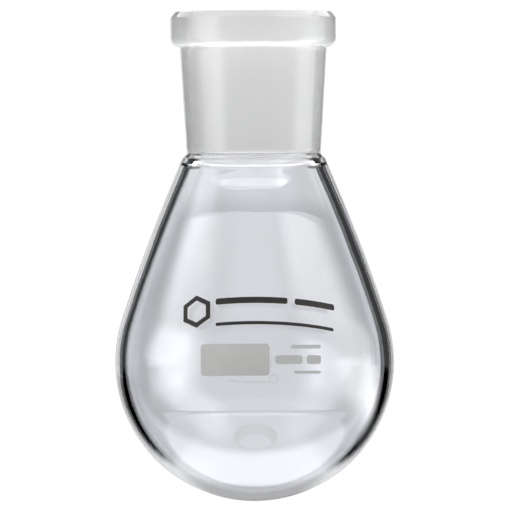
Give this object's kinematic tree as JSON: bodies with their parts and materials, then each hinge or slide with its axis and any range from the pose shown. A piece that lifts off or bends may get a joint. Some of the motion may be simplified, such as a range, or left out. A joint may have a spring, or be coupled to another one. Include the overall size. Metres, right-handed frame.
{
  "type": "pear-shaped evaporating flask",
  "caption": "Clear glass evaporating flask with a pear-shaped round-bottomed bulb, a beaded standard-taper ground socket as its neck, and enamel marks on one side.",
  "frame": {"origin": "centre of the socket's mouth, in the plane of its flat rim", "axes": "+Z along the flask's axis, out of the mouth; the bulb hangs along -Z and the marked side faces -Y"},
  "size_m": [0.0826, 0.0832, 0.145],
  "materials": {
    "ground_glass": "borosilicate glass, clear outside and ground to a fine matt inside the taper",
    "clear_glass": "clear fire-polished borosilicate glass",
    "grey_enamel": "matt fired enamel that takes pencil",
    "black_enamel": "satin fired enamel"
  },
  "bodies": {
    "root": {"ground_socket": "ground_glass", "pear_bulb": "clear_glass", "marking_spot": "grey_enamel", "grey_bar_upper": "grey_enamel", "grey_bar_figure": "grey_enamel", "grey_bar_unit": "grey_enamel", "grey_bar_lower": "grey_enamel", "black_hexagon": "black_enamel", "black_bar_long": "black_enamel", "black_bar_short": "black_enamel", "black_bar_thin": "black_enamel"}
  },
  "joints": []
}
